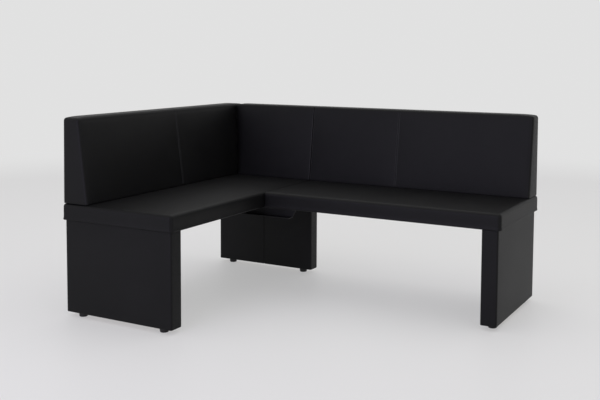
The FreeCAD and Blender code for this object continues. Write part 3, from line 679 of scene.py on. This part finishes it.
def back(name, along, seam=None, joint=None, at_corner=False):
    """One back. along is its long axis, and seam and joint are places on it."""
    low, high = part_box(name + "_cover")
    boards_low, boards_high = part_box(name + "_boards")
    along = Vector(along)
    faces_x = along.y > 0
    forward = Vector((1, 0, 0)) if faces_x else Vector((0, -1, 0))
    rear = (low if faces_x else high).dot(forward)
    front = (high if faces_x else low).dot(forward)
    start, end = low.dot(along), high.dot(along)
    free_ends = [] if at_corner else [side for side in (start, end) if side != joint]

    def at(depth, place, z):
        return forward * depth + along * place + Vector((0, 0, z))

    def slope(z):
        return (z - back_foot) / back_tall

    def side_front(z):
        """X of the side back's front, which the corner's back is cut to."""
        up = slope(z)
        return side_back_box[1].x - back_slope * up + back_bulge * 4 * up * (1 - up) + corner_gap

    def corner(far_x, far_y, upper):
        forward_end = far_x if faces_x else not far_y
        far_end = far_y if faces_x else far_x
        z = high.z if upper else low.z
        depth = (front - back_slope * slope(z)) if forward_end else (rear + back_lean * slope(z))
        first = side_back_box[1].x - back_slope * slope(z) + corner_gap if at_corner else start
        return at(depth, end if far_end else first, z)

    def room_top(place):
        z = boards_high.z
        moved = Vector((place.x, place.y, z))
        if place.dot(forward) > (rear + front) / 2:
            moved -= forward * back_slope * slope(z)
        return moved

    mesh = block(corner)
    frame_room(mesh, back_hem, boards_low, boards_high, room_top)

    def outside(place):
        depth, z = place.dot(forward), place.z
        edge = min(
            depth - rear - back_lean * slope(z), front - back_slope * slope(z) - depth,
            end - place.dot(along), high.z - z,
            place.x - side_front(z) + back_bulge if at_corner else place.dot(along) - start,
        )
        return edge < 2 * near_face

    def at_joint(place):
        return joint is not None and abs(place.dot(along) - joint) < hair

    def at_cut(place):
        return at_corner and place.x < side_front(place.z) + hair

    def at_free_edge(place):
        return outside(place) and place.z > base and not at_joint(place) and not at_cut(place)

    base = low.z + hair
    round_off(mesh, at_free_edge, back_round, segments=4)
    round_off(mesh, lambda p: p.z > base and at_joint(p), back_joint_round, segments=3)
    round_off(mesh, lambda p: outside(p) and p.z < base, hem_round, segments=2)
    first = boards_low.x if at_corner else start + back_round
    flank = back_round + edge_seam_width
    places = evenly(first, end - back_round, grid_spacing)
    places += [side + flank if side == start else side - flank for side in free_ends]
    if seam is not None:
        places = [place for place in places if clear_of_seam(place, seam)] + seam_cuts(seam)
    cut_at(mesh, along, places)
    cut_at(mesh, (0, 0, 1), [high.z - flank] + evenly(low.z + hem_round, high.z - flank, grid_spacing))
    for row in range(1, back_rows):
        share = row / back_rows
        foot = at(rear + back_round + (front - rear - 2 * back_round) * share, 0, low.z)
        head_depth = front - rear - back_slope - back_lean - 2 * back_round
        head = at(rear + back_lean + back_round + head_depth * share, 0, high.z)
        bmesh.ops.bisect_plane(
            mesh, geom=mesh.verts[:] + mesh.edges[:] + mesh.faces[:], dist=same_point,
            plane_co=foot, plane_no=(head - foot).cross(along),
        )
    bmesh.ops.remove_doubles(mesh, verts=mesh.verts[:], dist=nearly_same)
    piece = as_piece(name + "_pad", mesh, black_leather)

    def to_front(place):
        return front - back_slope * slope(place.z) - place.dot(forward)

    def hold(place):
        position = place.dot(along)
        to_edge = min(place.z - low.z, high.z - place.z)
        if to_front(place) < near_face:
            to_edge = min(to_edge, position - first + back_round * (not at_corner), end - position)
            at_seam = seam is not None and abs(position - seam) < stitch_row + hair
            return 1 if to_edge < back_round + near_face or at_seam else 0
        if any(abs(position - side) < hair for side in free_ends):
            to_edge = min(to_edge, to_front(place), place.dot(forward) - rear - back_lean * slope(place.z))
            return 1 if to_edge < back_round + near_face else 0
        return 1

    stuff(piece, hold, back_bulge)
    for vert in piece.data.vertices:
        place = vert.co.copy()
        from_ends = min([abs(place.dot(along) - side) for side in free_ends], default=crown_run)
        if to_front(place) < near_face and abs(min(from_ends, high.z - place.z) - back_round) < nearly_same:
            vert.co -= forward * edge_seam_sink
        share = min(1, from_ends / crown_run)
        lift = max(0, (place.z - boards_high.z) / (high.z - boards_high.z))
        vert.co.z += back_crown * lift * share * (2 - share)
    if at_corner:
        for vert in piece.data.vertices:
            share = max(0, min(1, (boards_low.x - vert.co.x) / (boards_low.x - side_back_box[1].x)))
            up = slope(vert.co.z)
            vert.co.x += back_bulge * 4 * up * (1 - up) * share
    if seam is not None:
        shape_seam(piece, along, seam, seam_heights)
    finish_pad(piece, name + "_cover", name + "_foam")

    stitched = [] if seam is None else [seam - stitch_row, seam + stitch_row]
    if joint is not None:
        stitched.append(joint + stitch_row if joint == start else joint - stitch_row)
    outside_front = front + ray_clear
    outside_rear = rear - ray_clear
    above = high.z + ray_clear
    bottom = low.z + stitch_margin
    top = high.z - stitch_margin
    rows = []
    for row in stitched:
        rows += [
            (at(outside_front, row, bottom), at(outside_front, row, top), -forward),
            (at(front - back_slope - stitch_margin, row, above), at(rear + back_round, row, above), down),
            (at(outside_rear, row, top), at(outside_rear, row, bottom), forward),
        ]
    sew(name + "_stitches", piece, rows)


back("side_back", (0, 1, 0), seam=side_seam_y)
back("corner_back", (1, 0, 0), joint=corner_back_box[1].x, at_corner=True)
back("long_back", (1, 0, 0), seam=long_seam_x, joint=long_back_box[0].x)

# Legs. Each is a hollow slab of board, padded thinly and covered in leather that is closed by a
# seam down the middle of its inner face. The cover is open at the top, under the seat.
leg_round = 0.008
leg_skin = 0.0045
leg_hem = 0.012
leg_swell = 0.0015
leg_rim = 0.001
leg_seam_heights = ((0, -0.0036), (0.002, 0.0003), (stitch_row, 0), (0.007, 0))


def leg(name, inner_face):
    """One leg. inner_face is the way that its seam faces."""
    low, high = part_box(name + "_cover")
    panels_low, panels_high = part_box(name + "_panels")

    def corner(far_x, far_y, upper):
        return Vector((high.x if far_x else low.x, high.y if far_y else low.y, high.z if upper else low.z))

    def rim(place):
        return min(place.x - low.x, high.x - place.x, place.y - low.y, high.y - place.y)

    mesh = block(corner)
    crown = facing(mesh, (0, 0, 1))
    bmesh.ops.inset_region(mesh, faces=[crown], thickness=leg_skin, use_even_offset=True)
    ceiling = frame_room(mesh, leg_hem, panels_low, panels_high, lambda p: Vector((p.x, p.y, high.z)))
    bmesh.ops.delete(mesh, geom=[crown, ceiling], context="FACES_ONLY")
    bmesh.ops.remove_doubles(mesh, verts=mesh.verts[:], dist=same_point)

    def at_upright(place):
        return rim(place) < hair and low.z + near_face < place.z < high.z - near_face

    def at_foot(place):
        return rim(place) < leg_round / 2 and place.z < low.z + hair

    round_off(mesh, at_upright, leg_round, segments=4)
    round_off(mesh, at_foot, hem_round / 2, segments=2)
    inner_face = Vector(inner_face)
    across = Vector((abs(inner_face.y), abs(inner_face.x), 0))
    start, end = low.dot(across), high.dot(across)
    seam = (start + end) / 2
    places = evenly(start + leg_round, end - leg_round, grid_spacing)
    cut_at(mesh, across, [place for place in places if clear_of_seam(place, seam)] + seam_cuts(seam))
    thin = Vector((abs(inner_face.x), abs(inner_face.y), 0))
    cut_at(mesh, thin, evenly(low.dot(thin) + leg_round, high.dot(thin) - leg_round, grid_spacing))
    rim_bottom = high.z - leg_rim
    cut_at(mesh, (0, 0, 1), evenly(low.z + hem_round / 2, rim_bottom, grid_spacing) + [rim_bottom])
    bmesh.ops.remove_doubles(mesh, verts=mesh.verts[:], dist=nearly_same)
    piece = as_piece(name + "_pad", mesh, black_leather)

    def on_inner(place):
        return (place - (low + high) / 2).dot(inner_face) > 0

    def hold(place):
        if rim(place) > hair:
            return 1
        near = min(place.dot(across) - start, end - place.dot(across), place.z - low.z, high.z - place.z)
        at_seam = on_inner(place) and abs(place.dot(across) - seam) < stitch_row + hair
        return 1 if near < leg_round + near_face or at_seam else 0

    stuff(piece, hold, leg_swell)
    shape_seam(
        piece, across, seam, leg_seam_heights, lambda place: on_inner(place) and rim(place) < 2 * near_face,
    )
    finish_pad(piece, name + "_cover", name + "_wadding", fill=1)


leg("front_leg", (0, 1, 0))
leg("corner_leg", (0, -1, 0))
leg("end_leg", (-1, 0, 0))

# Dust cloths. A thin black non-woven cloth is stretched under each seat, over the hem of its
# leather, and hangs slightly slack between the legs and the steelwork that hold it up.
cloth_thickness = 0.0005
cloth_sag = 0.003
cloth_slack_run = 0.12
cloth_grid = 0.03
cloth_dark = (0.008, 0.008, 0.008, 1)
cloth_light = (0.020, 0.020, 0.020, 1)
dust_cloth_material = fine_material(
    "dust_cloth", scale=1400, dark=cloth_dark, light=cloth_light, roughness=0.88, depth=0.0004,
)
leg_boxes = [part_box(name + "_leg_cover") for name in ("front", "corner", "end")]
steel_boxes = [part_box("coupling_channel"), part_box("coupling_plate")]


def gap_across(place, low, high):
    """How far a place is from a box, seen from above."""
    off_x = max(low.x - place.x, place.x - high.x, 0)
    off_y = max(low.y - place.y, place.y - high.y, 0)
    return Vector((off_x, off_y)).length


def dust_cloth(name):
    low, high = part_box(name + "_dust_cloth")
    size = high - low
    mesh = bmesh.new()
    bmesh.ops.create_grid(
        mesh, x_segments=ceil(size.x / cloth_grid), y_segments=ceil(size.y / cloth_grid), size=0.5,
    )
    bmesh.ops.scale(mesh, vec=(size.x, size.y, 1), verts=mesh.verts[:])
    bmesh.ops.translate(mesh, vec=(low + high) / 2, verts=mesh.verts[:])
    for vert in mesh.verts:
        place = vert.co
        edge = min(place.x - low.x, high.x - place.x, place.y - low.y, high.y - place.y)
        free = min([edge] + [gap_across(place, *box) for box in leg_boxes + steel_boxes])
        share = min(1, free / cloth_slack_run)
        vert.co.z -= cloth_sag * share * share * (3 - 2 * share)
    piece = as_piece(name + "_dust_sheet", mesh, dust_cloth_material)
    wall = piece.modifiers.new("cloth", "SOLIDIFY")
    wall.thickness = cloth_thickness
    wall.offset = 0
    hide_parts(name + "_dust_cloth")
    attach(piece, "bench")


dust_cloth("short_seat")
dust_cloth("long_seat")

# Staples. Zinc-plated wire staples hold the edges of the dust cloths up into the rails. There are
# none where a leg stands against the seat.
staple_pitch = 0.045
staple_inset = 0.007
staple_length = 0.010
staple_wire = 0.0011
zinc_dark = (0.36, 0.37, 0.38, 1)
zinc_light = (0.62, 0.63, 0.62, 1)
zinc_steel = fine_material(
    "zinc_steel", scale=900, dark=zinc_dark, light=zinc_light, roughness=0.38, depth=0.00005, metallic=1,
)


def one_staple():
    """The crown of a staple, one unit long and a wire thick, with rounded shoulders."""
    mesh = bmesh.new()
    bmesh.ops.create_cube(mesh, size=1)
    wire = staple_wire / staple_length
    bmesh.ops.scale(mesh, vec=(1, wire, wire), verts=mesh.verts[:])
    bmesh.ops.bevel(
        mesh, geom=mesh.edges[:], offset=wire / 4, offset_type="OFFSET", segments=2, profile=0.5,
        affect="EDGES", material=-1, clamp_overlap=True,
    )
    data = bpy.data.meshes.new("one_staple")
    mesh.to_mesh(data)
    mesh.free()
    return data


def staple_row(mesh, staple, start, end):
    run = end - start
    along_y = abs(run.y) > abs(run.x)
    turn = Matrix.Rotation(pi / 2 if along_y else 0, 4, "Z")
    count = int(run.length / staple_pitch)
    for i in range(count):
        spot = start + run * (i + 0.5) / count
        if min(gap_across(spot, *box) for box in leg_boxes + steel_boxes) > staple_length:
            stamp(mesh, staple, Matrix.Translation(spot) @ turn @ Matrix.Scale(staple_length, 4))


staple = one_staple()
mesh = bmesh.new()
for name in ("short_seat_dust_cloth", "long_seat_dust_cloth"):
    low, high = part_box(name)
    near = Vector((low.x + staple_inset, low.y + staple_inset, low.z - staple_wire / 4))
    far = Vector((high.x - staple_inset, high.y - staple_inset, near.z))
    corners = (near, Vector((far.x, near.y, near.z)), far, Vector((near.x, far.y, near.z)))
    for start, end in zip(corners, corners[1:] + corners[:1]):
        staple_row(mesh, staple, start, end)
bpy.data.meshes.remove(staple)
staples = as_piece("dust_cloth_staples", mesh, zinc_steel)
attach(staples, "bench")

# Webbing. Black elastic straps are stretched across the rails under the foam, each a plain weave
# with a rib along it.
webbing_pitch = 450
webbing_depth = 0.0005
webbing_dark = (0.006, 0.006, 0.006, 1)
webbing_light = (0.045, 0.045, 0.045, 1)


def repaint(material, *nodes):
    """Gives a finish to pieces that keep their own shape."""
    for name in nodes:
        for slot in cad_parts[name].material_slots:
            slot.material = material


def webbing_material():
    material = bpy.data.materials.new("webbing")
    material.use_nodes = True
    tree = material.node_tree
    shader = tree.nodes["Principled BSDF"]
    shader.inputs["Roughness"].default_value = 0.85
    place = add_node(tree, "TexCoord")
    weave = add_node(tree, "Math", operation="MULTIPLY")
    for i, direction in enumerate(("X", "Y")):
        threads = add_node(tree, "TexWave", bands_direction=direction, Scale=webbing_pitch, Distortion=0.4)
        tree.links.new(place.outputs["Object"], threads.inputs["Vector"])
        tree.links.new(threads.outputs["Fac"], weave.inputs[i])
    tone = add_node(tree, "Mix", data_type="RGBA")
    tone.inputs[6].default_value = webbing_dark
    tone.inputs[7].default_value = webbing_light
    bump = add_node(tree, "Bump", Strength=0.6, Distance=webbing_depth)
    tree.links.new(weave.outputs[0], tone.inputs[0])
    tree.links.new(tone.outputs[2], shader.inputs["Base Color"])
    tree.links.new(weave.outputs[0], bump.inputs["Height"])
    tree.links.new(bump.outputs[0], shader.inputs["Normal"])
    return material


repaint(webbing_material(), "short_seat_webbing", "long_seat_webbing")

# Timber. The rails of the seats and the frames of the legs and the backs are planed softwood, with
# pale early rings and darker late ones along each length.
timber_early = (0.52, 0.36, 0.20, 1)
timber_late = (0.30, 0.17, 0.08, 1)
timber_ring_shade = (0.72, 0.62, 0.52, 1)
timber_rings = 22
fibre_stretch = (0.06, 0.06, 1)


def timber_material():
    material = fine_material(
        "timber", scale=700, dark=timber_late, light=timber_early, roughness=0.72, depth=0.0002,
        stretch=fibre_stretch,
    )
    tree = material.node_tree
    shader = tree.nodes["Principled BSDF"]
    place = tree.nodes["Texture Coordinate"]
    fibres = shader.inputs["Base Color"].links[0].from_socket
    rings = add_node(tree, "TexWave", bands_direction="DIAGONAL", Scale=timber_rings, Distortion=7, Detail=3)
    tone = add_node(tree, "Mix", data_type="RGBA", blend_type="MULTIPLY")
    late = add_node(tree, "Mix", data_type="RGBA")
    late.inputs[6].default_value = (1, 1, 1, 1)
    late.inputs[7].default_value = timber_ring_shade
    tone.inputs[0].default_value = 1
    tree.links.new(place.outputs["Object"], rings.inputs["Vector"])
    tree.links.new(rings.outputs["Fac"], late.inputs[0])
    tree.links.new(fibres, tone.inputs[6])
    tree.links.new(late.outputs[2], tone.inputs[7])
    tree.links.new(tone.outputs[2], shader.inputs["Base Color"])
    return material


repaint(
    timber_material(), "short_seat_rails", "long_seat_rails", "front_leg_frame", "corner_leg_frame",
    "end_leg_frame", "side_back_frame", "corner_back_frame", "long_back_frame",
)

# Boards. The faces of the legs and the backs, and the boards that the seats are bolted through, are
# chipboard: flat flakes of wood pressed together, in several tones.
flake_scale = 260
flake_depth = 0.0003
flake_dark = (0.26, 0.16, 0.08, 1)
flake_light = (0.58, 0.43, 0.26, 1)


def chipboard_material():
    material = bpy.data.materials.new("chipboard")
    material.use_nodes = True
    tree = material.node_tree
    shader = tree.nodes["Principled BSDF"]
    shader.inputs["Roughness"].default_value = 0.85
    place = add_node(tree, "TexCoord")
    flakes = add_node(tree, "TexVoronoi", feature="F1", Scale=flake_scale, Randomness=1)
    pick = add_node(tree, "SeparateColor")
    tone = add_node(tree, "Mix", data_type="RGBA")
    tone.inputs[6].default_value = flake_dark
    tone.inputs[7].default_value = flake_light
    bump = add_node(tree, "Bump", Strength=0.5, Distance=flake_depth)
    tree.links.new(place.outputs["Object"], flakes.inputs["Vector"])
    tree.links.new(flakes.outputs["Color"], pick.inputs[0])
    tree.links.new(pick.outputs[0], tone.inputs[0])
    tree.links.new(tone.outputs[2], shader.inputs["Base Color"])
    tree.links.new(flakes.outputs["Distance"], bump.inputs["Height"])
    tree.links.new(bump.outputs[0], shader.inputs["Normal"])
    return material


repaint(
    chipboard_material(), "short_seat_boards", "long_seat_boards", "front_leg_panels", "corner_leg_panels",
    "end_leg_panels", "side_back_boards", "corner_back_boards", "long_back_boards",
)

# Steelwork. The channel and the plate that couple the two seats, and the irons that hold the backs
# up, are pressed steel in a matt black powder coat with a fine orange peel.
powder_dark = (0.0045, 0.0045, 0.0050, 1)
powder_light = (0.0090, 0.0090, 0.0095, 1)
black_steel = fine_material(
    "black_steel", scale=520, dark=powder_dark, light=powder_light, roughness=0.55, depth=0.00025,
    sheen=0.2,
)
repaint(
    black_steel, "coupling_channel", "coupling_plate", "side_back_irons", "corner_back_irons",
    "long_back_irons",
)

# Fasteners. The nuts in the legs, and the bolts and screws of the legs, irons and coupling, are
# bright zinc-plated steel.
repaint(zinc_steel, "foot_nuts", "leg_bolts", "iron_bolts", "coupling_screws")

# Screw feet. Each is a moulded black plastic foot on a zinc-plated stem with a rolled thread, which
# turns in a nut in the leg, so that the bench stands level.
thread_pitch = 0.00125
thread_depth = 0.0006
rows_per_pitch = 4
stem_sides = 16
plastic_dark = (0.006, 0.006, 0.006, 1)
plastic_light = (0.014, 0.014, 0.014, 1)
foot_plastic = fine_material(
    "foot_plastic", scale=1100, dark=plastic_dark, light=plastic_light, roughness=0.5, depth=0.00012,
    sheen=0.3,
)


def threaded_stem(name):
    low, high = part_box(name + "_stem")
    middle = (low + high) / 2
    radius = (high.x - low.x) / 2
    rows = round((high.z - low.z) / thread_pitch * rows_per_pitch)
    heights = [low.z + (high.z - low.z) * i / rows for i in range(rows + 1)]
    outline = [Vector((0, 0, low.z))] + [Vector((radius, 0, z)) for z in heights] + [Vector((0, 0, high.z))]
    mesh = bmesh.new()
    verts = [mesh.verts.new(place) for place in outline]
    edges = [mesh.edges.new(pair) for pair in zip(verts, verts[1:])]
    bmesh.ops.spin(
        mesh, geom=verts + edges, cent=(0, 0, 0), axis=(0, 0, 1), angle=2 * pi, steps=stem_sides,
        use_merge=True, use_duplicate=False,
    )
    bmesh.ops.remove_doubles(mesh, verts=mesh.verts[:], dist=same_point)
    for vert in mesh.verts:
        out = Vector((vert.co.x, vert.co.y, 0))
        if out.length > radius / 2:
            phase = (vert.co.z / thread_pitch - atan2(out.y, out.x) / (2 * pi)) % 1
            vert.co -= out.normalized() * thread_depth * abs(2 * phase - 1)
    bmesh.ops.translate(mesh, vec=(middle.x, middle.y, 0), verts=mesh.verts[:])
    stem = as_piece(name + "_threaded_stem", mesh, zinc_steel)
    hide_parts(name + "_stem")
    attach(stem, name + "_screw_foot")


for leg_name in ("front_leg", "corner_leg", "end_leg"):
    for side in ("outer", "inner"):
        repaint(foot_plastic, f"{leg_name}_{side}_foot")
        threaded_stem(f"{leg_name}_{side}")
